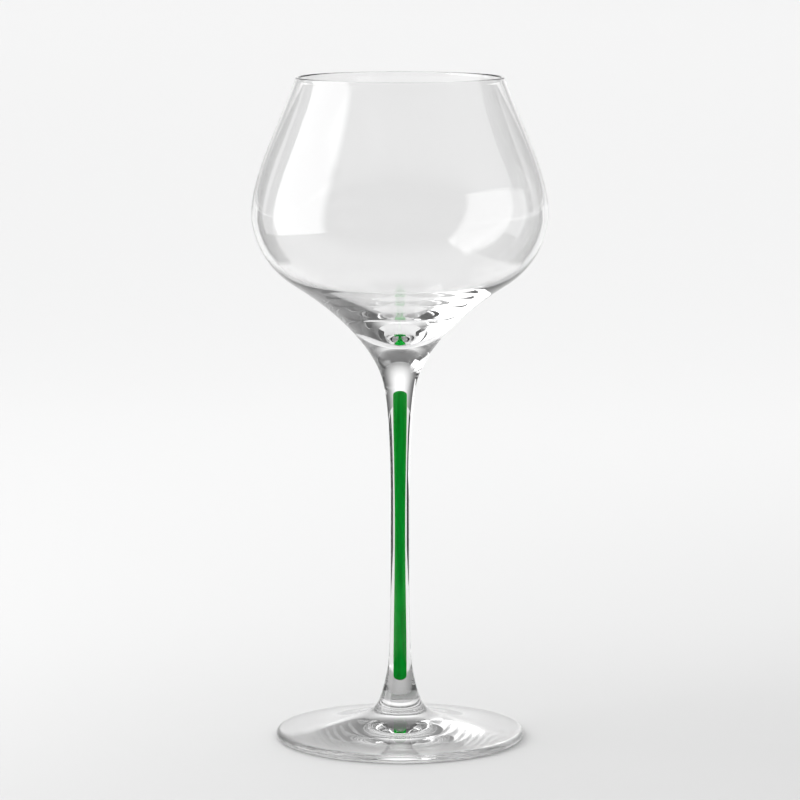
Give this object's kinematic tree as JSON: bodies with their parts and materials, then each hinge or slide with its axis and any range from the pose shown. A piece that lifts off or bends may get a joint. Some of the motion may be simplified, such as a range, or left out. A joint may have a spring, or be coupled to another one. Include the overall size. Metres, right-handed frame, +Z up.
{
  "type": "wine glass",
  "caption": "Stemmed wine glass: round-bellied bowl narrowing to the rim, clear drawn stem with a sealed green core, and a wide round foot.",
  "frame": {"origin": "centre of the plane the foot stands on, on the glass's axis", "axes": "+Z up along the glass's axis, from the foot to the rim; +X and +Y are any two square directions, since the glass is round"},
  "size_m": [0.0978, 0.0978, 0.22],
  "materials": {
    "clear_glass": "colourless soda-lime or crystal glass, fire-polished, smooth and clear",
    "green_glass": "opaque emerald green glass rod, seen through the clear casing of the stem"
  },
  "bodies": {
    "root": {"bowl": "clear_glass", "stem": "clear_glass", "colour_core": "green_glass", "foot": "clear_glass"}
  },
  "joints": []
}
